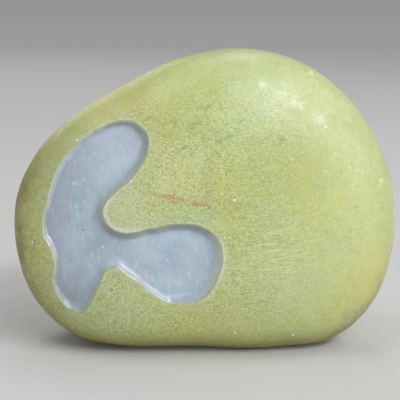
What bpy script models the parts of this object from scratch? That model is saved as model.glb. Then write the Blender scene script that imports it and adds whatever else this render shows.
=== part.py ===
"""Raw jadeite: a river-worn boulder standing on its long edge, with a polished window sunk into its front.

Metres, +Z up. The window faces -Y. The origin is on the resting face, below the middle of the bounding box.
The boulder is one piece of stone, so it is one solid.
"""

import math

import bmesh
import bpy
from mathutils import Vector

MM = 0.001

# The boulder's outline seen from the front: its radius every 15 degrees, counter-clockwise from +X
OUTLINE_RADII = [
    radius * MM
    for radius in (
        101.4, 98.2, 94.3, 90.2, 85.3, 80.1,
        74.8, 71.5, 70.4, 73.2, 80.2, 88.8,
        95.9, 99.5, 100.9, 97.2, 87.3, 79.2,
        76.9, 81.0, 89.4, 102.1, 107.0, 104.8,
    )
]
# The centre that the radii start from
CENTRE = Vector((-2.4, -0.8, 75.2)) * MM

# How far the boulder bulges in front of its outline and behind it
FRONT_BULGE = 44 * MM
BACK_BULGE = 48 * MM

# Squareness of a section: 2 is an ellipse, and a larger number is a flatter face with a tighter shoulder
FRONT_SQUARENESS = 2.7
SHOULDER_SWING = 0.35
SOFT_SHOULDER_ANGLE = math.radians(40)
BACK_SQUARENESS = 2.4

# The boulder is thicker low down, and leans back a little
THINNING = 0.10
LEAN = math.tan(math.radians(3))

# River wear: shallow swells, and broad worn flats given by their outward direction and distance from the centre
SWELL = 0.008
WORN_FLATS = (
    ((0.28, 0.92, 0.30), 46 * MM),
    ((-0.52, 0.84, -0.12), 55 * MM),
    ((0.42, 0.80, -0.36), 57 * MM),
)
FLAT_SHARPNESS = 14

# The polished window: its outline on the front, and how deep it is sunk
WINDOW_OUTLINE = [
    (x * MM, z * MM)
    for x, z in (
        (-37.5, 119.5), (-31, 117), (-27.5, 112), (-27.5, 105.5), (-34, 94), (-43.5, 85.5),
        (-48.5, 80), (-49.5, 75), (-46.5, 69.5), (-38.5, 66.5), (-27, 68.5), (-11.5, 71),
        (0, 69), (7, 62.5), (9, 54), (6.5, 43.5), (0.5, 34), (-8, 30.5),
        (-18, 30.5), (-25.5, 35), (-39.5, 46), (-44.5, 48.5), (-48, 47.5), (-50.5, 42.5),
        (-58, 27.5), (-61, 24), (-66, 24.5), (-73, 31), (-75.5, 39), (-74.5, 46.5),
        (-75.5, 54), (-79.5, 62), (-80.5, 69), (-78, 80), (-73.5, 94), (-66, 105),
        (-56, 113.5), (-45.5, 118.5),
    )
]
WINDOW_DEPTH = 3.0 * MM

# Fineness of the solid
CELLS_PER_SIDE = 24
CURVE_STEPS = 4

SKIN_COLOUR = (0.46, 0.52, 0.20, 1.0)
SKIN_ROUGHNESS = 0.5


def clear_scene():
    for obj in list(bpy.data.objects):
        bpy.data.objects.remove(obj)


def new_collection(name):
    collection = bpy.data.collections.new(name)
    bpy.context.scene.collection.children.link(collection)
    return collection


def skin_material():
    material = bpy.data.materials.new("jadeite_skin")
    material.use_nodes = True
    shader = material.node_tree.nodes["Principled BSDF"]
    shader.inputs["Base Color"].default_value = SKIN_COLOUR
    shader.inputs["Roughness"].default_value = SKIN_ROUGHNESS
    shader.inputs["Metallic"].default_value = 0.0
    return material


def outline_radius(angle):
    """The outline's radius at an angle, on a smooth closed curve through OUTLINE_RADII."""
    count = len(OUTLINE_RADII)
    place = (angle / math.tau * count) % count
    first = int(place) % count
    t = place - int(place)
    before, start, end, after = (OUTLINE_RADII[(first + k) % count] for k in (-1, 0, 1, 2))
    return 0.5 * (
        2 * start
        + (end - before) * t
        + (2 * before - 5 * start + 4 * end - after) * t**2
        + (3 * start - before - 3 * end + after) * t**3
    )


def swell(d):
    """Shallow lumps, as a share of the radius, in the direction d from the centre."""
    broad = math.sin(3.1 * d.x + 1.3) * math.cos(2.7 * d.z - 0.6 + 1.9 * d.y)
    small = math.sin(5.3 * d.y + 2.3 * d.x + 0.4) * math.cos(4.1 * d.z + 0.9)
    return SWELL * (broad + 0.5 * small)


def surface_radius(d):
    """Distance from the centre to the boulder's surface in the unit direction d."""
    angle = math.atan2(d.z, d.x)
    across = math.hypot(d.x, d.z) / outline_radius(angle)
    if d.y < 0:
        square = FRONT_SQUARENESS - SHOULDER_SWING * math.cos(angle - SOFT_SHOULDER_ANGLE)
        along = -d.y / FRONT_BULGE
    else:
        square = BACK_SQUARENESS
        along = d.y / BACK_BULGE
    radius = (across**square + along**square) ** (-1 / square) * (1 + swell(d) * abs(d.y))
    for direction, distance in WORN_FLATS:
        facing = max(0.0, d.dot(Vector(direction).normalized()))
        worn = (1 / radius) ** FLAT_SHARPNESS + (facing / distance) ** FLAT_SHARPNESS
        radius = worn ** (-1 / FLAT_SHARPNESS)
    return radius


def surface_point(d):
    """The point of the boulder's surface in the unit direction d, in the part's own frame."""
    point = d * surface_radius(d)
    thickness = 1 - THINNING * point.z / CENTRE.z
    return CENTRE + Vector((point.x, point.y * thickness + LEAN * point.z, point.z))


def boulder_mesh(name, inset=0.0):
    """The boulder as a mesh: a cube's grid, spread over a ball and moved onto the surface, then cut flat below."""
    bm = bmesh.new()
    bmesh.ops.create_cube(bm, size=2)
    bmesh.ops.subdivide_edges(bm, edges=bm.edges[:], cuts=CELLS_PER_SIDE - 1, use_grid_fill=True)
    for vert in bm.verts:
        even = Vector([math.tan(c * math.pi / 4) for c in vert.co])
        vert.co = surface_point(even.normalized())
    bm.normal_update()
    for vert in bm.verts:
        vert.co -= vert.normal * inset
    cut = bmesh.ops.bisect_plane(
        bm,
        geom=bm.verts[:] + bm.edges[:] + bm.faces[:],
        plane_co=(0, 0, 0),
        plane_no=(0, 0, -1),
        clear_outer=True,
    )
    rim = [e for e in cut["geom_cut"] if isinstance(e, bmesh.types.BMEdge)]
    if rim:
        bmesh.ops.contextual_create(bm, geom=rim)
    bmesh.ops.recalc_face_normals(bm, faces=bm.faces[:])
    mesh = bpy.data.meshes.new(name)
    bm.to_mesh(mesh)
    bm.free()
    return mesh


def new_object(name, mesh, collection):
    obj = bpy.data.objects.new(name, mesh)
    collection.objects.link(obj)
    return obj


def as_cutter(obj):
    obj.hide_render = True
    obj.display_type = "WIRE"


def cut_away(obj, cutter):
    modifier = obj.modifiers.new("cut_" + cutter.name, "BOOLEAN")
    modifier.operation = "DIFFERENCE"
    modifier.object = cutter


def window_prism(collection):
    """The window's outline run straight through the front of the boulder."""
    curve = bpy.data.curves.new("window_outline", "CURVE")
    curve.dimensions = "2D"
    curve.fill_mode = "BOTH"
    curve.resolution_u = CURVE_STEPS
    curve.extrude = FRONT_BULGE
    spline = curve.splines.new("BEZIER")
    spline.bezier_points.add(len(WINDOW_OUTLINE) - 1)
    for point, (x, z) in zip(spline.bezier_points, WINDOW_OUTLINE):
        point.co = (x, z, 0)
        point.handle_left_type = "AUTO"
        point.handle_right_type = "AUTO"
    spline.use_cyclic_u = True
    outline = new_object("window_outline", curve, collection)
    outline.rotation_euler.x = math.pi / 2
    outline.location.y = -FRONT_BULGE
    bpy.context.view_layer.update()

    graph = bpy.context.evaluated_depsgraph_get()
    mesh = bpy.data.meshes.new_from_object(outline.evaluated_get(graph))
    bm = bmesh.new()
    bm.from_mesh(mesh)
    bmesh.ops.remove_doubles(bm, verts=bm.verts[:], dist=0.01 * MM)
    bmesh.ops.recalc_face_normals(bm, faces=bm.faces[:])
    bm.to_mesh(mesh)
    bm.free()
    prism = new_object("window_cutter", mesh, collection)
    prism.matrix_world = outline.matrix_world
    bpy.data.objects.remove(outline)
    as_cutter(prism)
    return prism


def build():
    clear_scene()
    stone_parts = new_collection("raw_jadeite")
    cutters = new_collection("cutters")

    boulder = new_object("jadeite_boulder", boulder_mesh("jadeite_boulder"), stone_parts)
    boulder.data.materials.append(skin_material())

    window_floor = new_object("window_floor", boulder_mesh("window_floor", WINDOW_DEPTH), cutters)
    as_cutter(window_floor)
    prism = window_prism(cutters)
    cut_away(prism, window_floor)
    cut_away(boulder, prism)
    boulder.data.shade_smooth()


build()
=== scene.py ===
"""The looks of the raw jadeite boulder.

The boulder is one fine mesh in place of the CAD solid and of the same form. It has a worn, grained skin
with low relief, and a window ground into the front and polished. Metres, +Z up, and the window faces -Y.
"""

import math
from functools import reduce

import bpy
import numpy as np
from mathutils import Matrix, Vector, geometry, kdtree, noise


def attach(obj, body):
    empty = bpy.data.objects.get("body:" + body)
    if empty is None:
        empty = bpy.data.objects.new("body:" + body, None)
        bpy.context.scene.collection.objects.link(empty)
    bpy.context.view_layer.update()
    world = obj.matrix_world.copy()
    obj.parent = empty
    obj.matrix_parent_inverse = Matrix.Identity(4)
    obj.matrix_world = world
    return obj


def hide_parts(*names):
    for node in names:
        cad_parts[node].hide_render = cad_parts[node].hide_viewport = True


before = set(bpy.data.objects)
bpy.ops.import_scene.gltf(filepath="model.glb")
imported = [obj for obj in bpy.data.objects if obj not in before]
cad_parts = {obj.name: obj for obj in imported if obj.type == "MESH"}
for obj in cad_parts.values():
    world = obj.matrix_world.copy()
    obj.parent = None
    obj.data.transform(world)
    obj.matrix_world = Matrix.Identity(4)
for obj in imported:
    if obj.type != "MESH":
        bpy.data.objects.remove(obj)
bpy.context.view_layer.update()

MM = 0.001

# The boulder's outline seen from the front, as in the CAD solid: its radius every 15 degrees,
# counter-clockwise from +X, and the centre that the radii start from
OUTLINE_RADII = MM * np.array((
    101.4, 98.2, 94.3, 90.2, 85.3, 80.1,
    74.8, 71.5, 70.4, 73.2, 80.2, 88.8,
    95.9, 99.5, 100.9, 97.2, 87.3, 79.2,
    76.9, 81.0, 89.4, 102.1, 107.0, 104.8,
))
CENTRE = np.array((-2.4, -0.8, 75.2)) * MM

# How far it bulges in front of its outline and behind it, and how square a section is: 2 is an ellipse
FRONT_BULGE = 44 * MM
BACK_BULGE = 48 * MM
FRONT_SQUARENESS = 2.7
SHOULDER_SWING = 0.35
SOFT_SHOULDER_ANGLE = math.radians(40)
BACK_SQUARENESS = 2.4

# It is thicker low down, and leans back a little
THINNING = 0.10
LEAN = math.tan(math.radians(3))

# River wear: shallow swells, and broad worn flats given by their outward direction and their distance
# from the centre
SWELL = 0.008
WORN_FLATS = (
    ((0.28, 0.92, 0.30), 46 * MM),
    ((-0.52, 0.84, -0.12), 55 * MM),
    ((0.42, 0.80, -0.36), 57 * MM),
)
FLAT_SHARPNESS = 14

# The window's outline on the front, as in the CAD solid, in millimetres, and how deep it is sunk
WINDOW_OUTLINE = (
    (-37.5, 119.5), (-31, 117), (-27.5, 112), (-27.5, 105.5), (-34, 94), (-43.5, 85.5),
    (-48.5, 80), (-49.5, 75), (-46.5, 69.5), (-38.5, 66.5), (-27, 68.5), (-11.5, 71),
    (0, 69), (7, 62.5), (9, 54), (6.5, 43.5), (0.5, 34), (-8, 30.5),
    (-18, 30.5), (-25.5, 35), (-39.5, 46), (-44.5, 48.5), (-48, 47.5), (-50.5, 42.5),
    (-58, 27.5), (-61, 24), (-66, 24.5), (-73, 31), (-75.5, 39), (-74.5, 46.5),
    (-75.5, 54), (-79.5, 62), (-80.5, 69), (-78, 80), (-73.5, 94), (-66, 105),
    (-56, 113.5), (-45.5, 118.5),
)
WINDOW_DEPTH = 3.0 * MM

# The window's ground wall: its width in from the outline, which is less where it faces right and more
# where it faces up or down, and how round its lip and foot are
WALL_WIDTH = 1.7 * MM
WALL_LEFTWARD = 1.1 * MM
WALL_UPRIGHT = 0.9 * MM
WALL_ROUNDNESS = 2.0

# The window was ground by hand, so its outline wavers
WAVER_LENGTH = 5 * MM
WAVER_HEIGHT = 0.25 * MM

# Fineness of the mesh: the steps between its points, and how the window's outline is sampled
FRONT_STEP = 1.25 * MM
BACK_STEP = 1.7 * MM
OUTLINE_STEP = 0.7 * MM
CURVE_STEPS = 16
SAMPLES_PER_STEP = 12
BISECTIONS = 30

# The rings of points that follow the window's outline: how far inside it each one is
RINGS = np.array((-1.4, -0.8, -0.35, 0, 0.15, 0.35, 0.6, 0.9, 1.25, 1.65, 2.1, 2.6, 3.3, 4.1, 5.0)) * MM
RING_TOLERANCE = 0.05 * OUTLINE_STEP

# How far the lattice of points stays from the rim, the rings and the dents, in steps of the lattice
RIM_GAP = 0.7
RING_GAP = 0.6
DENT_GAP = 0.4

# The rim is where the front half meets the back half. Places on one half are taken just short of it
RIM_TILT = math.pi / 2
SHORT_OF_RIM = RIM_TILT - 1e-6
RIM_MARGIN = 1e-3

# Low relief of the skin and of the window's floor: (size of a lump, height of a lump). One fades into the
# other over a distance in from the outline
SKIN_RELIEF = ((30 * MM, 0.35 * MM), (9 * MM, 0.12 * MM), (3.5 * MM, 0.04 * MM))
FLOOR_RELIEF = ((22 * MM, 0.2 * MM), (8 * MM, 0.05 * MM))
RELIEF_FADE = 3 * WALL_WIDTH

# How round the edge of the resting face is
FOOT_ROUNDING = 0.8 * MM

# Small dents in the front, in the skin: (x, z, radius, depth). The mesh is finer on a dent and round it,
# out to a number of radii
DENTS = tuple(
    tuple(value * MM for value in dent)
    for dent in (
        (87.6, 85.7, 2.0, 0.5), (89.8, 88.0, 1.3, 0.4), (54.2, 135.1, 1.0, 0.5),
        (-86.3, 58.2, 1.8, 0.4), (-84.6, 50.5, 1.4, 0.25), (36.7, 110.6, 2.6, 0.3),
        (-7.3, 115.7, 3.0, 0.3), (11.2, 112.4, 2.2, 0.3),
    )
)
DENT_PATCH = 1.5
STEPS_PER_DENT_RADIUS = 4

# The floor: half its width, its shade, and where its glow begins and is full
FLOOR_REACH = 20
FLOOR_SHADE = 0.6
FLOOR_GLOW_REACH = (0.5, 3.2)

# The world's brightness, and the lamps: (name, azimuth, elevation, width, height, power), then how far off
# they stand, and the angle that their light fans out over
WORLD_STRENGTH = 0.30
LAMPS = (
    ("front_low", 2, 13, 1.3, 1.3, 3.0),
    ("right", 65, 14, 1.3, 1.3, 6.6),
    ("right_side", 98, 48, 1.3, 1.3, 2.5),
    ("left_high", -75, 68, 1.3, 1.3, 3.7),
    ("back_high", 180, 60, 1.3, 1.3, 2.8),
    ("back_low", -155, 22, 1.3, 1.3, 2.4),
    ("gloss_strip", 40, 42, 2.2, 0.4, 11.0),
    ("shoulder_gloss", 45, 62, 0.5, 0.5, 1.3),
)
LAMP_DISTANCE = 2.6
LAMP_SPREAD = math.radians(110)

# The camera stands in front and looks down a little, by an angle in degrees
CAMERA_TARGET = Vector((-2.4, 0, 73.1)) * MM
CAMERA_DISTANCE = 0.55
CAMERA_ELEVATION = 12
CAMERA_LENS = 93.5
SENSOR_WIDTH = 36


# The form of the stone


def outline_radius(angle):
    """The outline's radius at each angle, on a smooth closed curve through OUTLINE_RADII."""
    count = len(OUTLINE_RADII)
    place = angle / math.tau * count % count
    first = np.floor(place).astype(int)
    t = place - first
    before, start, end, after = (OUTLINE_RADII[(first + k) % count] for k in (-1, 0, 1, 2))
    return 0.5 * (
        2 * start
        + (end - before) * t
        + (2 * before - 5 * start + 4 * end - after) * t**2
        + (3 * start - before - 3 * end + after) * t**3
    )


def swell(d):
    """Shallow lumps, as a share of the radius, in each direction from the centre."""
    x, y, z = d.T
    broad = np.sin(3.1 * x + 1.3) * np.cos(2.7 * z - 0.6 + 1.9 * y)
    small = np.sin(5.3 * y + 2.3 * x + 0.4) * np.cos(4.1 * z + 0.9)
    return SWELL * (broad + 0.5 * small)


def surface_radius(d):
    """Distance from the centre to the stone's surface in each unit direction."""
    x, y, z = d.T
    angle = np.arctan2(z, x)
    out = np.hypot(x, z) / outline_radius(angle)
    front_square = FRONT_SQUARENESS - SHOULDER_SWING * np.cos(angle - SOFT_SHOULDER_ANGLE)
    square = np.where(y < 0, front_square, BACK_SQUARENESS)
    along = np.abs(y) / np.where(y < 0, FRONT_BULGE, BACK_BULGE)
    radius = (out**square + along**square) ** (-1 / square) * (1 + swell(d) * np.abs(y))
    for outward, distance in WORN_FLATS:
        facing = np.maximum(0, d @ (outward / np.linalg.norm(outward)))
        worn = (1 / radius) ** FLAT_SHARPNESS + (facing / distance) ** FLAT_SHARPNESS
        radius = worn ** (-1 / FLAT_SHARPNESS)
    return radius


def surface_point(d):
    """The point of the stone's surface in each unit direction."""
    x, y, z = (d * surface_radius(d)[:, None]).T
    thickness = 1 - THINNING * z / CENTRE[2]
    return CENTRE + np.stack((x, y * thickness + LEAN * z, z), axis=1)


def direction(angle, tilt, side):
    """Unit directions: tilt is measured from the middle of the front (side -1) or back (side 1)."""
    return np.stack((np.sin(tilt) * np.cos(angle), side * np.cos(tilt), np.sin(tilt) * np.sin(angle)), axis=1)


def rim_directions(angle, tilt, side):
    """Directions at the same tilt all round."""
    return direction(angle, np.full(len(angle), tilt), side)


# Where a point lies on a face of the stone, laid out flat


def front_radius(d):
    """How far from the centre a point lies, seen from the front."""
    return surface_radius(d) * np.hypot(d[:, 0], d[:, 2])


def unrolled(d):
    """How far a point lies from the face's middle, with the way back along the shoulder added."""
    side = np.sign(d[:1, 1])
    middle = surface_radius(np.array(((0.0, side[0], 0.0),)))
    return front_radius(d) + middle - surface_radius(d) * np.abs(d[:, 1])


def tilt_for(measure, wanted, angle, side):
    """The tilt at which a measure that grows from the face's middle outwards has the wanted value."""
    low = np.zeros_like(wanted)
    high = np.full_like(wanted, RIM_TILT)
    for _ in range(BISECTIONS):
        middle = (low + high) / 2
        short = measure(direction(angle, middle, side)) < wanted
        low = np.where(short, middle, low)
        high = np.where(short, high, middle)
    return (low + high) / 2


def directions_of(points, measure, side):
    """The directions of flat points, whose distance from the middle is in that measure."""
    angle = np.arctan2(points[:, 1], points[:, 0])
    tilt = tilt_for(measure, np.hypot(*points.T), angle, side)
    return direction(angle, tilt, side)


def laid_flat(d):
    """The flat points of directions, with their distance from the middle unrolled."""
    angle = np.arctan2(d[:, 2], d[:, 0])
    return unrolled(d)[:, None] * np.stack((np.cos(angle), np.sin(angle)), axis=1)


def lattice(step, reach):
    """A flat triangular lattice of points, out to a distance."""
    rows = np.arange(-reach, reach, step * math.sqrt(3) / 2)
    columns = np.arange(-reach, reach, step)
    x, y = np.meshgrid(columns, rows)
    x[1::2] += step / 2
    return np.stack((x.ravel(), y.ravel()), axis=1)


# The window


def window_line():
    """Points at even steps along the window's outline."""
    curve = bpy.data.curves.new("window_outline", "CURVE")
    curve.dimensions = "3D"
    curve.resolution_u = CURVE_STEPS
    spline = curve.splines.new("BEZIER")
    spline.bezier_points.add(len(WINDOW_OUTLINE) - 1)
    for point, (x, z) in zip(spline.bezier_points, WINDOW_OUTLINE):
        point.co = (x * MM, z * MM, 0)
        point.handle_left_type = "AUTO"
        point.handle_right_type = "AUTO"
    spline.use_cyclic_u = True
    guide = bpy.data.objects.new("window_outline", curve)
    bpy.context.scene.collection.objects.link(guide)
    mesh = guide.evaluated_get(bpy.context.evaluated_depsgraph_get()).to_mesh()
    line = np.array([vert.co[:2] for vert in mesh.vertices])
    bpy.data.objects.remove(guide)
    closed = np.vstack((line, line[:1]))
    length = np.concatenate(((0,), np.cumsum(np.linalg.norm(np.diff(closed, axis=0), axis=1))))
    even = np.linspace(0, length[-1], round(length[-1] / OUTLINE_STEP), endpoint=False)
    return np.stack([np.interp(even, length, closed[:, k]) for k in (0, 1)], axis=1)


def inside(points, line):
    """Which points lie inside a closed line, by counting the crossings of a ray."""
    crossed = np.zeros(len(points), bool)
    for (x0, y0), (x1, y1) in zip(line, np.roll(line, -1, axis=0)):
        if y0 == y1:
            continue
        spans = (points[:, 1] > min(y0, y1)) & (points[:, 1] <= max(y0, y1))
        left = points[:, 0] < x0 + (points[:, 1] - y0) * (x1 - x0) / (y1 - y0)
        crossed ^= spans & left
    return crossed


def inward_from(line):
    """Unit vectors from a closed line's points to its inner side."""
    along = np.roll(line, -1, axis=0) - np.roll(line, 1, axis=0)
    inward = np.stack((-along[:, 1], along[:, 0]), axis=1) / np.linalg.norm(along, axis=1)[:, None]
    tried = line[:1] + inward[:1] * OUTLINE_STEP
    return inward if inside(tried, line)[0] else -inward


class Window:
    """The window's outline, and how far inside it a point lies."""

    def __init__(self):
        line = window_line()
        waver = [WAVER_HEIGHT * noise.noise((x / WAVER_LENGTH, 0, z / WAVER_LENGTH)) for x, z in line]
        self.line = line + inward_from(line) * np.array(waver)[:, None]
        self.inward = inward_from(self.line)
        following = np.roll(self.line, -1, axis=0)
        parts = np.linspace(0, 1, SAMPLES_PER_STEP, endpoint=False)[:, None, None]
        samples = (self.line * (1 - parts) + following * parts).reshape(-1, 2)
        self.tree = kdtree.KDTree(len(samples))
        for index, (x, z) in enumerate(samples):
            self.tree.insert((x, z, 0), index)
        self.tree.balance()
        rightward, upward = self.inward.T
        self.wall = WALL_WIDTH - WALL_LEFTWARD * rightward + WALL_UPRIGHT * np.abs(upward)

    def distance(self, points):
        """How far from the outline each point lies: above 0 inside, below 0 outside."""
        apart = np.array([self.tree.find((x, z, 0))[2] for x, z in points])
        return np.where(inside(points, self.line), apart, -apart)

    def rings(self):
        """Points on lines that follow the outline, less those that come nearer to another stretch of it."""
        rings = []
        for offset in RINGS:
            ring = self.line + self.inward * offset
            rings.append(ring[np.abs(self.distance(ring) - offset) < RING_TOLERANCE])
        return np.vstack(rings)

    def wall_width(self, points):
        """The width of the wall near each point: the mean of the outline's, where near points count most."""
        apart = np.square(points[:, None, :] - self.line[None, :, :]).sum(axis=2)
        share = 1 / np.square(apart + OUTLINE_STEP**2)
        return share @ self.wall / share.sum(axis=1)

    def depth(self, points, distance):
        """The depth of the ground recess at points that far inside the outline."""
        depth = np.zeros(len(points))
        within = distance > 0
        fallen = distance[within] / self.wall_width(points[within])
        depth[within] = WINDOW_DEPTH * (1 - np.exp(-(fallen**WALL_ROUNDNESS)))
        return depth


# The mesh


def half_mesh(points, rim_count):
    """Triangles between flat points, the first rim_count of which are its rim, as indices of those points."""
    flat = [Vector(point) for point in points]
    rim = [list(range(rim_count))]
    only_inside_rim = 1
    merging_distance = 1e-9
    found = geometry.delaunay_2d_cdt(flat, [], rim, only_inside_rim, merging_distance)
    triangles, origins = found[2:4]
    source = np.array([indices[0] for indices in origins])
    return source[np.array([triangle for triangle in triangles if len(triangle) == 3])]


def spread_points(step, side):
    """Directions on a half of the stone at even steps, clear of its rim."""
    flat = lattice(step, OUTLINE_RADII.max() + BACK_BULGE)
    limit = unrolled(rim_directions(np.arctan2(flat[:, 1], flat[:, 0]), SHORT_OF_RIM, side))
    return directions_of(flat[np.hypot(*flat.T) < limit - RIM_GAP * step], unrolled, side)


def front_points(window):
    """Directions on the front half: evenly spread, and finer along the window's outline and on the dents."""
    spread = spread_points(FRONT_STEP, -1)
    place = surface_point(spread)[:, (0, 2)]
    distance = window.distance(place)
    free = (distance < RINGS[0] - RING_GAP * FRONT_STEP) | (distance > RINGS[-1] + RING_GAP * FRONT_STEP)
    finer = [window.rings()]
    for x, z, radius, _ in DENTS:
        free &= np.hypot(*(place - (x, z)).T) > DENT_PATCH * radius + DENT_GAP * FRONT_STEP
        patch = lattice(radius / STEPS_PER_DENT_RADIUS, DENT_PATCH * radius)
        finer.append(patch[np.hypot(*patch.T) < DENT_PATCH * radius] + (x, z))
    fine = directions_of(np.vstack(finer) - CENTRE[[0, 2]], front_radius, -1)
    return np.vstack((fine, spread[free]))


def stone_points(window):
    """The directions and triangles of the front half and then the back half, which share their rim."""
    rim_count = round(math.tau * OUTLINE_RADII.mean() / FRONT_STEP)
    rim_angle = np.linspace(0, math.tau, rim_count, endpoint=False)
    rim = rim_directions(rim_angle, RIM_TILT, 0)
    front = front_points(window)
    back = spread_points(BACK_STEP, 1)

    def faces_of(half, side):
        near_rim = rim_directions(rim_angle, SHORT_OF_RIM, side)
        return half_mesh(laid_flat(np.vstack((near_rim, half))), rim_count)

    front_faces = faces_of(front, -1)
    back_faces = faces_of(back, 1)
    back_faces = np.where(back_faces < rim_count, back_faces, back_faces + len(front))
    return np.vstack((rim, front, back)), np.vstack((front_faces, back_faces[:, ::-1]))


def lumps(points, sizes):
    """The height of low relief at each point."""
    height = np.zeros(len(points))
    for size, amount in sizes:
        height += [amount * noise.noise(Vector(point) / size) for point in points]
    return height


def dents(points):
    """The depth of the small dents at each point of the front."""
    depth = np.zeros(len(points))
    for x, z, radius, deepest in DENTS:
        apart = np.hypot(points[:, 0] - x, points[:, 2] - z) / radius
        depth += np.where(points[:, 1] < 0, deepest * np.exp(-2 * apart**2), 0)
    return depth


def flat_foot(points):
    """The points raised to the resting face, with a rounded edge where it begins."""
    share = np.clip(0.5 + 0.5 * points[:, 2] / FOOT_ROUNDING, 0, 1)
    points[:, 2] = points[:, 2] * share + FOOT_ROUNDING * share * (1 - share)
    return points


def vertex_normals(mesh):
    normals = np.zeros(len(mesh.vertices) * 3, np.float32)
    mesh.vertex_normals.foreach_get("vector", normals)
    return normals.reshape(-1, 3).astype(float)


def build_stone():
    window = Window()
    directions, faces = stone_points(window)
    base = surface_point(directions)
    mesh = bpy.data.meshes.new("jadeite_stone")
    mesh.from_pydata(base.tolist(), [], faces.tolist())
    mesh.update()
    normals = vertex_normals(mesh)

    place = base[:, (0, 2)]
    distance = window.distance(place)
    far_outside = -1
    distance[directions[:, 1] > -RIM_MARGIN] = far_outside
    floor = np.clip(distance / RELIEF_FADE, 0, 1)
    height = lumps(base, SKIN_RELIEF) * (1 - floor) + lumps(base, FLOOR_RELIEF) * floor - dents(base)
    moved = base + normals * height[:, None]
    # The recess is cut along Y, and deeper where the face slopes, so that it is as deep all over
    moved[:, 1] += window.depth(place, distance) / np.clip(-normals[:, 1], 0.5, 1)
    mesh.vertices.foreach_set("co", flat_foot(moved).astype(np.float32).ravel())

    inset = mesh.attributes.new("window_inset", "FLOAT", "POINT")
    inset.data.foreach_set("value", (distance / MM).astype(np.float32))
    mesh.materials.append(skin_material())
    mesh.materials.append(window_material())
    in_window = distance[faces].mean(axis=1) > 0
    mesh.polygons.foreach_set("material_index", in_window.astype(np.int32))
    mesh.shade_smooth()
    mesh.update()

    stone = bpy.data.objects.new("jadeite_stone", mesh)
    bpy.context.scene.collection.objects.link(stone)
    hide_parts("jadeite_boulder")
    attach(stone, "root")
    return stone


# Materials


class Nodes:
    """Short forms for the nodes that a material is made of."""

    def __init__(self, material):
        material.use_nodes = True
        self.tree = material.node_tree
        self.shader = self.tree.nodes["Principled BSDF"]
        where = self.new("ShaderNodeTexCoord")
        self.place = where.outputs["Object"]
        self.normal = where.outputs["Normal"]

    def new(self, kind, **settings):
        node = self.tree.nodes.new(kind)
        for name, value in settings.items():
            setattr(node, name, value)
        return node

    def put(self, socket, value):
        """Links an output to a socket, or sets the socket to a number or colour."""
        if isinstance(value, bpy.types.NodeSocket):
            self.tree.links.new(value, socket)
        else:
            socket.default_value = value

    def moved(self, stretch=(1, 1, 1), tilt=0.0, shift=0.0):
        """The surface's place, turned about Y and stretched, for a texture."""
        mapping = self.new("ShaderNodeMapping")
        self.put(mapping.inputs["Vector"], self.place)
        mapping.inputs["Scale"].default_value = stretch
        mapping.inputs["Rotation"].default_value = (0, tilt, 0)
        mapping.inputs["Location"].default_value = (shift, 0.7 * shift, -shift)
        return mapping.outputs["Vector"]

    def noise(self, size, detail=2.0, roughness=0.5, **placing):
        """Noise from 0 to 1 with lumps of that size in metres."""
        texture = self.new("ShaderNodeTexNoise")
        self.put(texture.inputs["Vector"], self.moved(**placing))
        texture.inputs["Scale"].default_value = 1 / size
        texture.inputs["Detail"].default_value = detail
        texture.inputs["Roughness"].default_value = roughness
        return texture.outputs["Fac"]

    def grains(self, size, **placing):
        """Grains of that size: a random number from 0 to 1 for each, and the distance from its middle."""
        texture = self.new("ShaderNodeTexVoronoi")
        self.put(texture.inputs["Vector"], self.moved(**placing))
        texture.inputs["Scale"].default_value = 1 / size
        number = self.new("ShaderNodeSeparateColor")
        self.put(number.inputs["Color"], texture.outputs["Color"])
        return number.outputs["Red"], texture.outputs["Distance"]

    def parts(self, vector):
        """The X, Y and Z of a vector."""
        node = self.new("ShaderNodeSeparateXYZ")
        self.put(node.inputs["Vector"], vector)
        return node.outputs[:]

    def ramp(self, value, low, high, start=0.0, end=1.0):
        """Start where the value is low, end where it is high, and a smooth rise between them."""
        node = self.new("ShaderNodeMapRange", interpolation_type="SMOOTHSTEP")
        self.put(node.inputs["Value"], value)
        for name, number in (("From Min", low), ("From Max", high), ("To Min", start), ("To Max", end)):
            node.inputs[name].default_value = number
        return node.outputs["Result"]

    def math(self, operation, a, b=0.0):
        node = self.new("ShaderNodeMath", operation=operation)
        self.put(node.inputs[0], a)
        self.put(node.inputs[1], b)
        return node.outputs["Value"]

    def product(self, *values):
        return reduce(lambda a, b: self.math("MULTIPLY", a, b), values)

    def total(self, *values):
        return reduce(lambda a, b: self.math("ADD", a, b), values)

    def greatest(self, *values):
        return reduce(lambda a, b: self.math("MAXIMUM", a, b), values)

    def swing(self, pattern, reach):
        """A pattern from 0 to 1 as an offset either way, over a reach in all."""
        return self.product(self.math("SUBTRACT", pattern, 0.5), reach)

    def blend(self, share, a, b):
        """Colour b laid over colour a by a share."""
        node = self.new("ShaderNodeMix", data_type="RGBA")
        colours = [socket for socket in node.inputs if socket.type == "RGBA"]
        self.put(node.inputs[0], share)
        self.put(colours[0], a)
        self.put(colours[1], b)
        return next(socket for socket in node.outputs if socket.type == "RGBA")

    def bump(self, height, distance, strength, under=None):
        """The normal of a surface with that relief, on top of another bump where one is given."""
        node = self.new("ShaderNodeBump")
        self.put(node.inputs["Height"], height)
        node.inputs["Distance"].default_value = distance
        node.inputs["Strength"].default_value = strength
        if under is not None:
            self.put(node.inputs["Normal"], under)
        return node.outputs["Normal"]


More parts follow.
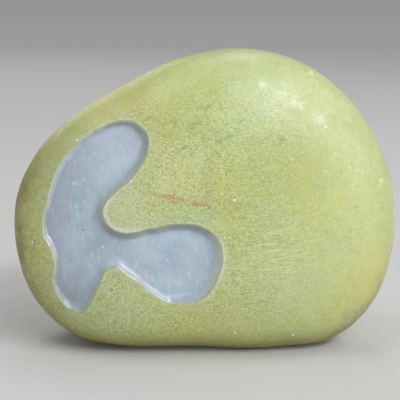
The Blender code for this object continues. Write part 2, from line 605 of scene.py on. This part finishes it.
class StoneNodes(Nodes):
    """The nodes of one of the stone's materials: where its surface is, which way it faces, and marks on it.

    The marks are placed as seen from the front, in millimetres.
    """

    def __init__(self, material):
        super().__init__(material)
        self.x, _, self.z = self.parts(self.place)
        self.rightward, self.backward, self.upward = self.parts(self.normal)
        # How far inside the window's outline the surface is, in millimetres, and below 0 outside it
        inset = self.new("ShaderNodeAttribute", attribute_type="GEOMETRY", attribute_name="window_inset")
        self.inset = inset.outputs["Fac"]

    def front_distance(self, x, z):
        """How far the surface is from a point of the front, in metres."""
        flat = self.new("ShaderNodeVectorMath", operation="MULTIPLY")
        self.put(flat.inputs[0], self.place)
        flat.inputs[1].default_value = (1, 0, 1)
        apart = self.new("ShaderNodeVectorMath", operation="DISTANCE")
        self.put(apart.inputs[0], flat.outputs["Vector"])
        apart.inputs[1].default_value = (x * MM, 0, z * MM)
        return apart.outputs["Value"]

    def spot(self, x, z, inner, outer, strength=1.0, uneven=None):
        """A share that falls from the strength at the inner radius to 0 at the outer one.

        Uneven, in metres, is how much nearer to the middle that happens at each place.
        """
        apart = self.front_distance(x, z)
        if uneven is not None:
            apart = self.total(apart, uneven)
        return self.ramp(apart, inner * MM, outer * MM, start=strength, end=0)

    def marks(self, places, soft=0.5):
        """A share that is 1 on small round marks, with an edge from soft times their radius outwards."""
        return self.greatest(*[self.spot(x, z, soft * radius, radius) for x, z, radius in places])

    def line(self, x0, z0, x1, z1, half_width, waver):
        """A share that is 1 on a thin line between two points, with soft ends and edges."""
        half_length = math.hypot(x1 - x0, z1 - z0) / 2
        way_x, way_z = (x1 - x0) / 2 / half_length, (z1 - z0) / 2 / half_length
        dx = self.math("SUBTRACT", self.x, (x0 + x1) / 2 * MM)
        dz = self.math("SUBTRACT", self.z, (z0 + z1) / 2 * MM)
        along = self.math("ABSOLUTE", self.total(self.product(dx, way_x), self.product(dz, way_z)))
        aside = self.math("SUBTRACT", self.product(dx, way_z), self.product(dz, way_x))
        aside = self.math("ABSOLUTE", self.total(aside, waver))
        ends = self.ramp(along, (half_length - 2) * MM, (half_length + 0.5) * MM, start=1, end=0)
        return self.product(ends, self.ramp(aside, 0.2 * half_width * MM, half_width * MM, start=1, end=0))

    def lines(self, places):
        """A share that is 1 on thin, slightly wavering lines."""
        waver = self.swing(self.noise(5 * MM), 1.6 * MM)
        return self.greatest(*[self.line(*place, waver) for place in places])


def colour(red, green, blue):
    """A colour given as sRGB bytes, in the linear values that a shader takes."""
    share = (red / 255, green / 255, blue / 255)
    return (*[c / 12.92 if c <= 0.04045 else ((c + 0.055) / 1.055) ** 2.4 for c in share], 1.0)


# The skin


# Marks on the skin's front, in millimetres. Stains: (x, z, radius), and how strong each is
OCHRE_STAINS = (
    (-43, 133, 12, 0.6), (-34, 128, 10, 0.4), (-58, 124, 14, 0.5), (-78, 108, 12, 0.5), (-23, 119, 10, 0.3),
    (17, 64, 8, 0.5), (11, 76, 7, 0.4), (76, 34, 15, 0.28), (64, 24, 10, 0.28), (12, 98, 9, 0.3),
)
# Broad changes of tone, with one painted sheen among them: (x, z, radius), how strong each is, and its colour
BROAD_TONES_AND_SHEEN = (
    (35, 42, 40, 0.55, (193, 201, 156)),
    (4, 16, 44, 0.5, (202, 203, 126)),
    (-45, 70, 62, 0.45, (190, 200, 158)),
    (36, 98, 30, 0.45, (168, 178, 106)),
    (88, 40, 24, 0.5, (199, 194, 114)),
    (-88, 62, 13, 0.6, (198, 196, 124)),
    (-86, 36, 12, 0.5, (188, 180, 106)),
    (-42, 22, 22, 0.5, (192, 200, 154)),
    (-50, 126, 15, 0.6, (208, 206, 142)),
    (-14, 96, 19, 0.45, (210, 214, 152)),
    # Painted sheen: a pale green haze on the upper shoulder
    (26, 131, 26, 0.45, (200, 214, 168)),
    (-24, 125, 16, 0.4, (208, 208, 138)),
    (-38, 76, 10, 0.35, (200, 210, 180)),
)
# The rusty streak, dull green smears and pale scratches: (x, z, x, z) from end to end, and half the width
RUST_DASHES = ((-19.6, 82.9, -8.4, 82.0, 2.3), (-8.2, 81.3, 3.6, 79.7, 1.9), (-23.8, 84.2, -13.4, 83.9, 1.5))
SMEARS = (
    (-9, 117.5, -1, 120, 1.0), (-14, 105.5, -7, 108.5, 1.1), (5, 109.5, 14, 113.5, 1.5),
    (15, 118.5, 20, 121, 0.9), (36, 107, 38, 113, 1.7), (-2, 125, 4, 128, 0.8),
    (-20, 118, -12, 120.5, 0.9), (-31, 119, -25, 122, 1.2),
)
SCRATCHES = (
    (26, 64.5, 43, 68.5, 0.45), (31, 52.5, 52, 55.5, 0.45), (18, 58.5, 36, 61.5, 0.4),
    (44, 59.5, 60, 63, 0.4), (22, 47, 41, 49.5, 0.4), (-12, 97, 2, 104, 0.35), (20, 95, 38, 99, 0.35),
)
# Rubbed, glossier spots of the shoulder that also carry a painted sheen, pale chips with a painted glint
# among them, and white specks: (x, z, radius)
RUBBED_SHEEN_SPOTS = (
    (13, 137, 7), (28, 136, 5), (39, 134, 7), (46, 127.5, 6), (57, 118.5, 5), (-2, 131, 5),
)
# The first chip, at (28.2, 136.4), is a painted glint of the shoulder
PALE_CHIPS_AND_GLINT = ((28.2, 136.4, 2.4), (54, 141, 1.8), (89.5, 87.7, 1.6), (60, 116, 1.2), (-28, 141, 1.5))
SKIN_SPECKS = (
    (14.6, 82.4, 0.8), (9.8, 54.0, 0.6), (15.2, 13.4, 0.8), (44.7, 11.2, 0.9), (-36.0, 91.3, 0.7),
    (-63.5, 109.3, 0.7), (-79.7, 62.0, 0.8), (-86.4, 58.6, 0.7),
)


class SkinNodes(StoneNodes):
    """The nodes of the skin, with the patterns that its colour, gloss and bump share."""

    def __init__(self, material):
        super().__init__(material)
        self.facing = self.math("ABSOLUTE", self.backward)
        # The front's broad tones fade out past the rim. Fine marks stop short of it, where they would stretch
        self.on_front = self.ramp(self.backward, 0.0, 0.4, start=1, end=0)
        self.short_of_rim = self.ramp(self.backward, -0.3, 0.0, start=1, end=0)
        self.patches = self.noise(15 * MM, detail=5, roughness=0.65, shift=3.1)
        self.mottle = self.noise(7 * MM, detail=4, roughness=0.6, shift=5.3)
        self.clusters = self.noise(11 * MM, detail=4, roughness=0.6, shift=7.7)
        self.smudges = self.noise(
            4.5 * MM, detail=4, roughness=0.7, stretch=(0.45, 1, 1), tilt=0.45, shift=9.1
        )
        self.blurred_grain = self.noise(1.3 * MM, detail=2, shift=3.7)
        self.number, self.middle = self.grains(0.9 * MM, stretch=(0.7, 1, 1))
        self.fine_number, self.fine_middle = self.grains(0.45 * MM, stretch=(0.8, 1, 1), shift=4.0)
        self.rubbed_and_sheen = self.product(self.marks(RUBBED_SHEEN_SPOTS, soft=0.2), self.short_of_rim)


def base_tones(n):
    """Yellow-green, paler at the upper right and right, partly a painted sheen where the lamps fall, mottled
    and blotched.
    """
    broad = n.noise(34 * MM, detail=3)
    skin = n.blend(n.ramp(broad, 0.36, 0.64), colour(188, 194, 112), colour(181, 196, 129))
    # Painted sheen: a paler, bluer tone at the lit upper right and right, over the skin's own paler tone
    # there
    upper_right_sheen = n.ramp(n.total(n.product(n.x, 0.6), n.product(n.z, 0.8)), 106 * MM, 130 * MM, end=0.8)
    pale = n.greatest(upper_right_sheen, n.ramp(n.x, 45 * MM, 80 * MM, end=0.6))
    skin = n.blend(n.product(pale, n.on_front), skin, colour(186, 196, 143))
    skin = n.blend(n.ramp(n.mottle, 0.42, 0.66, end=0.58), skin, colour(172, 187, 130))
    yellowed = n.product(n.ramp(n.patches, 0.48, 0.68, end=0.5), n.math("SUBTRACT", 1, pale))
    skin = n.blend(yellowed, skin, colour(194, 199, 108))
    blotches = n.noise(2.6 * MM, detail=3, roughness=0.6, shift=1.7)
    off_centre = n.math("ABSOLUTE", n.math("SUBTRACT", n.x, 5 * MM))
    blotched = n.ramp(off_centre, 20 * MM, 70 * MM, start=0.2, end=0.45)
    skin = n.blend(n.product(n.ramp(blotches, 0.52, 0.72), blotched), skin, colour(166, 174, 102))
    return n.blend(n.product(n.ramp(blotches, 0.46, 0.28), blotched), skin, colour(208, 215, 156))


def front_tones(n, skin):
    """Broad changes of tone on the front, one of them a painted sheen on the upper shoulder, and broken ochre
    stains, all with uneven edges.
    """
    uneven = n.swing(n.patches, 40 * MM)
    for x, z, radius, strength, tone in BROAD_TONES_AND_SHEEN:
        share = n.product(n.spot(x, z, 0.1 * radius, radius, strength, uneven), n.on_front)
        skin = n.blend(share, skin, colour(*tone))
    broken = n.ramp(n.noise(2.5 * MM, detail=3, shift=2.9), 0.3, 0.65, start=0.4)
    for x, z, radius, strength in OCHRE_STAINS:
        stain = n.product(n.spot(x, z, 0.2 * radius, radius, strength, uneven), n.on_front, broken)
        skin = n.blend(stain, skin, colour(190, 182, 82))
    return skin


def back_tones(n, skin):
    """Ochre and pale drifts on the back, and small rusty patches."""
    behind = n.ramp(n.backward, 0.0, 0.5)
    drift = n.noise(48 * MM, detail=4, roughness=0.6, shift=8.2)
    skin = n.blend(n.product(n.ramp(drift, 0.50, 0.66), behind, 0.6), skin, colour(190, 180, 92))
    skin = n.blend(n.product(n.ramp(drift, 0.46, 0.34), behind, 0.6), skin, colour(184, 198, 148))
    iron = n.product(n.ramp(n.patches, 0.58, 0.72), n.ramp(drift, 0.42, 0.60), behind, 0.7)
    return n.blend(iron, skin, colour(156, 126, 56))


def edge_tones(n, skin):
    """Paler skin beside the window, painted shade in brown on the shoulders that face away from the lamps,
    pale flecks on the left end, and an ochre foot darkened by painted shade.
    """
    near_tongue = n.ramp(n.front_distance(-42, 76), 26 * MM, 8 * MM, start=0.35, end=0.9)
    patchy = n.ramp(n.noise(5 * MM, detail=3, shift=2.2), 0.3, 0.65, start=0.4)
    thin = n.product(n.ramp(n.inset, -9.0, -0.5), near_tongue, patchy)
    skin = n.blend(thin, skin, colour(190, 199, 166))
    # Painted shade: darker brown where the shoulders face left and down, away from the lamps, over some of
    # the skin's own brown
    painted_shade_brown = n.product(
        n.ramp(n.facing, 0.95, 0.50),
        n.ramp(n.total(n.product(n.rightward, 0.5), n.upward), 0.7, -0.3),
        n.ramp(n.patches, 0.30, 0.58, start=0.45),
        n.ramp(n.mottle, 0.3, 0.6, start=0.7),
    )
    skin = n.blend(painted_shade_brown, skin, colour(132, 118, 56))
    flecked = n.ramp(n.noise(6 * MM, detail=4, shift=10.5), 0.48, 0.62)
    left_end = n.product(n.ramp(n.x, -76 * MM, -84 * MM), n.ramp(n.facing, 0.40, 0.70), flecked)
    skin = n.blend(n.product(left_end, n.on_front, 0.5), skin, colour(204, 202, 134))
    # Painted shade: darker ochre low down near the floor, over some ochre at the foot
    foot = n.ramp(n.total(n.z, n.swing(n.patches, 20 * MM)), 16 * MM, 0, end=0.7)
    return n.blend(foot, skin, colour(156, 146, 80))


def sandy_grain(n, skin):
    """Darker and paler grains, densest where the front is flat, and white grains that are painted glints on
    the rubbed spots.
    """
    flatness = n.total(n.facing, n.ramp(n.x, 0, -50 * MM, end=0.11))
    density = n.product(
        n.ramp(flatness, 0.75, 0.97, start=0.3),
        n.ramp(n.x, 72 * MM, 6 * MM, start=0.2),
        n.ramp(n.clusters, 0.34, 0.60, start=0.6),
        n.ramp(n.front_distance(-46, 74), 8 * MM, 24 * MM, start=0.75),
    )
    dots = n.product(n.ramp(n.middle, 0.50, 0.30), n.ramp(n.number, 0.15, 0.75), density, 0.27)
    skin = n.blend(dots, skin, colour(124, 130, 64))
    freckles = n.product(n.ramp(n.fine_number, 0.62, 0.92), density, 0.66)
    skin = n.blend(freckles, skin, colour(126, 132, 64))
    light = n.product(n.ramp(n.fine_number, 0.26, 0.05), n.ramp(density, 0.0, 0.8, start=0.25), 0.38)
    skin = n.blend(light, skin, colour(226, 231, 180))
    # White grains in clusters, and painted glints where they fall on the rubbed spots of the shoulder
    sprinkled = n.greatest(n.ramp(n.clusters, 0.52, 0.66), n.rubbed_and_sheen)
    pale_grains_and_glints = n.product(n.ramp(n.fine_number, 0.05, 0.01), sprinkled, 0.6)
    return n.blend(pale_grains_and_glints, skin, colour(240, 243, 214))


def smears_and_scratches(n, skin):
    """Dull green smears all over, fine scratches right of the window, and the larger ones of both."""
    skin = n.blend(n.ramp(n.smudges, 0.60, 0.74, end=0.5), skin, colour(142, 154, 98))
    smeared = n.product(n.lines(SMEARS), n.ramp(n.number, 0, 1, start=0.6), n.short_of_rim, 0.55)
    skin = n.blend(smeared, skin, colour(130, 142, 92))
    fine = n.noise(0.8 * MM, detail=1, stretch=(0.05, 1, 1), tilt=-0.16, shift=6.4)
    region = n.product(n.spot(34, 58, 8, 32), n.short_of_rim)
    skin = n.blend(n.product(n.ramp(fine, 0.56, 0.70), region, 0.45), skin, colour(218, 224, 174))
    skin = n.blend(n.product(n.ramp(fine, 0.42, 0.30), region, 0.3), skin, colour(140, 148, 84))
    return n.blend(n.product(n.lines(SCRATCHES), n.short_of_rim, 0.36), skin, colour(222, 227, 182))


def small_marks(n, skin):
    """The painted sheen on the rubbed spots, the pale chips with one painted glint among them, the rusty
    streak and the white specks.
    """
    broken = n.ramp(n.blurred_grain, 0.35, 0.6, start=0.3)
    # Painted sheen: a pale bluish haze on the rubbed spots of the lit shoulder
    painted_sheen = n.product(n.rubbed_and_sheen, n.ramp(n.smudges, 0.38, 0.56), broken, 0.35)
    skin = n.blend(painted_sheen, skin, colour(222, 231, 208))
    pitted = n.ramp(n.blurred_grain, 0.35, 0.6, start=0.2)
    # Pale chips, and one painted glint at (28.2, 136.4)
    chips_and_glint = n.product(n.marks(PALE_CHIPS_AND_GLINT, soft=0.2), n.short_of_rim, pitted, 0.6)
    skin = n.blend(chips_and_glint, skin, colour(232, 240, 198))
    rust = n.product(n.lines(RUST_DASHES), n.ramp(n.fine_number, 0.15, 0.6, start=0.2), n.short_of_rim, 0.85)
    skin = n.blend(rust, skin, colour(178, 122, 72))
    return n.blend(n.product(n.marks(SKIN_SPECKS), n.short_of_rim, 0.85), skin, colour(244, 246, 228))


def chalky_lip(n, skin):
    """A pale lip along the window's outline: wide and whole by the right lobe and the tongue's tip."""
    near_tip = n.spot(-44, 71, 7, 20)
    whole = n.greatest(n.spot(8, 46, 12, 24), near_tip)
    width = n.ramp(whole, 0, 1, start=-1.3, end=-3.2)
    lip = n.product(
        n.ramp(n.math("DIVIDE", n.inset, width), 1, 0.1),
        n.greatest(whole, n.ramp(n.noise(4 * MM, detail=3, shift=8.8), 0.40, 0.62)),
        n.ramp(n.blurred_grain, 0.30, 0.60, start=0.3),
        n.ramp(near_tip, 0, 1, start=0.6),
    )
    return n.blend(lip, skin, colour(212, 218, 190))


def skin_roughness(n):
    """Rough on the flats and in dull patches, glossier on the shoulders and most on the rubbed spots."""
    dull = n.ramp(n.noise(5 * MM, detail=4, roughness=0.65, shift=4.8), 0.35, 0.68)
    rough = n.total(
        n.ramp(n.facing, 0.70, 0.97, start=0.27, end=0.40),
        n.product(dull, 0.14),
        n.ramp(n.x, 10 * MM, -50 * MM, end=0.12),
        n.ramp(n.x, 20 * MM, 70 * MM, end=0.06),
    )
    return n.math("SUBTRACT", rough, n.product(n.rubbed_and_sheen, n.ramp(dull, 1, 0), 0.13))


def skin_bump(n):
    """Fine grains on coarser grains on low lumps."""
    coarse = n.bump(n.noise(2.6 * MM, detail=3, roughness=0.6), 0.22 * MM, 0.35)
    grainy = n.bump(n.middle, 0.18 * MM, 0.3, under=coarse)
    return n.bump(n.fine_middle, 0.10 * MM, 0.25, under=grainy)


def skin_material():
    """Weathered skin: yellow-green, sandy-grained on the flats and waxier on the shoulders."""
    material = bpy.data.materials.new("weathered_skin")
    n = SkinNodes(material)
    skin = base_tones(n)
    for tones in (front_tones, back_tones, edge_tones):
        skin = tones(n, skin)
    for marking in (sandy_grain, smears_and_scratches, small_marks, chalky_lip):
        skin = marking(n, skin)
    n.put(n.shader.inputs["Base Color"], skin)
    n.put(n.shader.inputs["Roughness"], skin_roughness(n))
    n.put(n.shader.inputs["Normal"], skin_bump(n))
    n.shader.inputs["IOR"].default_value = 1.6
    return material


# The polished window


# Painted shade in the window, darker where the floor turns away near its left edge and tail: (x, z, radius),
# how strong each is, and its colour
WINDOW_SHADES = (
    (-65, 28, 22, 0.4, (150, 158, 166)),
    (-70, 98, 22, 0.45, (162, 172, 180)),
    (-49, 57, 13, 0.35, (150, 165, 180)),
)
# White flecks and dark dots: (x, z, radius)
WINDOW_FLECKS = (
    (-57.6, 100.1, 1.5), (-64.8, 88.5, 1.3), (-63.2, 78.1, 1.3),
    (-57.3, 64.5, 1.4), (-50.4, 58.6, 1.2), (-3.9, 57.0, 1.3),
)
WINDOW_DOTS = ((-60.0, 66.4, 0.5), (-59.5, 81.3, 0.4), (-60.9, 70.5, 0.4), (-50.7, 42.0, 0.5))


def window_floor(n, wisps):
    """Cloudy blue-grey with a lavender cast, lighter higher up as a painted reflection, painted shade near
    the left edge and tail, wisps, white flecks and dark dots.
    """
    clouds = n.noise(13 * MM, detail=5, roughness=0.6)
    jade = n.blend(n.ramp(clouds, 0.35, 0.68), colour(166, 184, 200), colour(184, 201, 214))
    lavender = n.greatest(
        n.ramp(n.noise(20 * MM, detail=2, shift=4.2), 0.50, 0.75, end=0.5),
        n.ramp(n.x, -60 * MM, -78 * MM, end=0.8),
    )
    jade = n.blend(lavender, jade, colour(174, 176, 197))
    # Painted reflection: the upper lobe lighter towards its top
    jade = n.blend(n.ramp(n.z, 76 * MM, 100 * MM, end=0.35), jade, colour(202, 213, 223))
    # Painted shade: darker patches where the floor turns away from the lamps
    for x, z, radius, strength, tone in WINDOW_SHADES:
        jade = n.blend(n.spot(x, z, 0.2 * radius, radius, strength), jade, colour(*tone))
    jade = n.blend(n.ramp(wisps, 0.52, 0.72, end=0.65), jade, colour(208, 220, 230))
    jade = n.blend(n.ramp(wisps, 0.44, 0.28, end=0.35), jade, colour(150, 166, 182))
    flecks = n.product(n.marks(WINDOW_FLECKS, soft=0.1), n.ramp(n.noise(1.1 * MM, detail=3), 0.40, 0.6), 0.8)
    jade = n.blend(flecks, jade, colour(230, 237, 242))
    number, _ = n.grains(0.6 * MM)
    specks = n.product(n.ramp(number, 0.02, 0.005), n.ramp(wisps, 0.50, 0.62), 0.6)
    jade = n.blend(specks, jade, colour(228, 236, 242))
    return n.blend(n.product(n.marks(WINDOW_DOTS), 0.8), jade, colour(84, 92, 100))


def window_walls(n, wisps, jade):
    """Duller, greener jade near the walls, painted light and shade on them by the way they face, and chalk at
    the left.
    """
    edge = n.total(n.inset, n.ramp(wisps, 0.3, 0.7, start=-0.4, end=0.4))
    jade = n.blend(n.ramp(edge, 0.6, 4.2, start=0.6, end=0), jade, colour(164, 172, 162))
    jade = n.blend(n.ramp(edge, 0.0, 1.4, start=0.85, end=0), jade, colour(168, 173, 144))
    # Painted shade: darker on the walls that face down, away from the lamps
    painted_shade_below = n.product(n.ramp(n.upward, 0.0, -0.5), n.ramp(n.rightward, 0.40, 0.0, start=0.3), 0.6)
    jade = n.blend(painted_shade_below, jade, colour(138, 146, 138))
    # Painted light: lighter on the high walls that face right, towards the lamps
    high_up = n.ramp(n.z, 70 * MM, 92 * MM, start=0.15, end=0.45)
    painted_light_right = n.product(n.ramp(n.rightward, 0.10, 0.45), high_up)
    jade = n.blend(painted_light_right, jade, colour(196, 204, 206))
    facing_left = n.ramp(n.rightward, -0.25, -0.6)
    # Painted light: lighter on the walls that face left, away from the lamps, at the right of the window
    painted_light_left = n.product(facing_left, n.ramp(n.x, -20 * MM, 0.0), 0.5)
    jade = n.blend(painted_light_left, jade, colour(206, 212, 200))
    # Painted shade: darker on the high walls that face left, away from the lamps
    painted_shade_left = n.product(facing_left, n.ramp(n.z, 84 * MM, 100 * MM), 0.35)
    jade = n.blend(painted_shade_left, jade, colour(134, 142, 132))
    chalk_width = n.ramp(n.noise(5 * MM, shift=6.1), 0.45, 0.7, end=2)
    chalky = n.product(
        n.ramp(n.math("SUBTRACT", n.inset, chalk_width), 0.1, 0.8, start=1, end=0),
        n.ramp(n.x, -60 * MM, -72 * MM),
        n.ramp(n.noise(1.0 * MM, detail=3), 0.42, 0.62, start=0.1, end=0.65),
    )
    return n.blend(chalky, jade, colour(200, 205, 204))


def window_material():
    """Polished jadeite: cloudy blue-grey with a lavender cast, waxy and slightly see-through."""
    material = bpy.data.materials.new("polished_jadeite")
    n = StoneNodes(material)
    wisps = n.noise(3.4 * MM, detail=5, roughness=0.7, stretch=(1.5, 1, 0.6), tilt=0.5, shift=1.3)
    n.put(n.shader.inputs["Base Color"], window_walls(n, wisps, window_floor(n, wisps)))
    rough = n.ramp(n.noise(9 * MM, detail=4), 0.3, 0.7, start=0.08, end=0.13)
    n.put(n.shader.inputs["Roughness"], n.product(rough, n.ramp(n.inset, 2.0, 5.0, start=0.5)))
    n.put(n.shader.inputs["Normal"], n.bump(n.noise(3.5 * MM, detail=3), 0.15 * MM, 0.25))
    n.shader.inputs["IOR"].default_value = 1.66
    n.shader.inputs["Subsurface Weight"].default_value = 0.35
    n.shader.inputs["Subsurface Radius"].default_value = (0.8, 1.0, 1.0)
    n.shader.inputs["Subsurface Scale"].default_value = 3 * MM
    return material


# The studio


def floor_material():
    """A pale floor that glows where the lamps no longer reach, so that it meets the world without a line."""
    material = bpy.data.materials.new("pale_floor")
    n = Nodes(material)
    n.shader.inputs["Base Color"].default_value = (FLOOR_SHADE, FLOOR_SHADE, FLOOR_SHADE, 1)
    n.shader.inputs["Roughness"].default_value = 0.9
    n.shader.inputs["Specular IOR Level"].default_value = 0.0
    n.shader.inputs["Emission Color"].default_value = (1, 1, 1, 1)
    length = n.new("ShaderNodeVectorMath", operation="LENGTH")
    n.put(length.inputs[0], n.place)
    glow = n.ramp(length.outputs["Value"], *FLOOR_GLOW_REACH, end=WORLD_STRENGTH * (1 - FLOOR_SHADE))
    n.put(n.shader.inputs["Emission Strength"], glow)
    return material


def make_floor():
    reach = FLOOR_REACH
    mesh = bpy.data.meshes.new("floor")
    corners = [(-reach, -reach, 0), (reach, -reach, 0), (reach, reach, 0), (-reach, reach, 0)]
    mesh.from_pydata(corners, [], [(0, 1, 2, 3)])
    mesh.materials.append(floor_material())
    floor = bpy.data.objects.new("floor", mesh)
    bpy.context.scene.collection.objects.link(floor)


def around(azimuth, elevation, distance):
    """The point at a distance from the camera's target. Azimuth 0 is in front and 90 is on the right."""
    a, e = math.radians(azimuth), math.radians(elevation)
    way = Vector((math.sin(a) * math.cos(e), -math.cos(a) * math.cos(e), math.sin(e)))
    return CAMERA_TARGET + way * distance


def look_at_target(obj):
    obj.rotation_euler = (CAMERA_TARGET - obj.location).to_track_quat("-Z", "Y").to_euler()


def add_light(name, azimuth, elevation, width, height, power):
    light = bpy.data.lights.new(name, "AREA")
    light.shape = "ELLIPSE"
    light.size = width
    light.size_y = height
    light.energy = power
    light.spread = LAMP_SPREAD
    lamp = bpy.data.objects.new(name, light)
    bpy.context.scene.collection.objects.link(lamp)
    lamp.location = around(azimuth, elevation, LAMP_DISTANCE)
    lamp.visible_camera = False
    look_at_target(lamp)


def make_world():
    world = bpy.data.worlds.new("studio")
    world.use_nodes = True
    background = world.node_tree.nodes["Background"]
    background.inputs["Color"].default_value = (1, 1, 1, 1)
    background.inputs["Strength"].default_value = WORLD_STRENGTH
    bpy.context.scene.world = world


def make_studio():
    make_floor()
    make_world()
    for lamp in LAMPS:
        add_light(*lamp)
    bpy.context.scene.view_settings.view_transform = "Standard"


def make_camera():
    camera = bpy.data.objects.new("camera", bpy.data.cameras.new("camera"))
    bpy.context.scene.collection.objects.link(camera)
    camera.data.lens = CAMERA_LENS
    camera.data.sensor_width = SENSOR_WIDTH
    camera.location = around(0, CAMERA_ELEVATION, CAMERA_DISTANCE)
    look_at_target(camera)
    bpy.context.scene.camera = camera


make_camera()
build_stone()
make_studio()
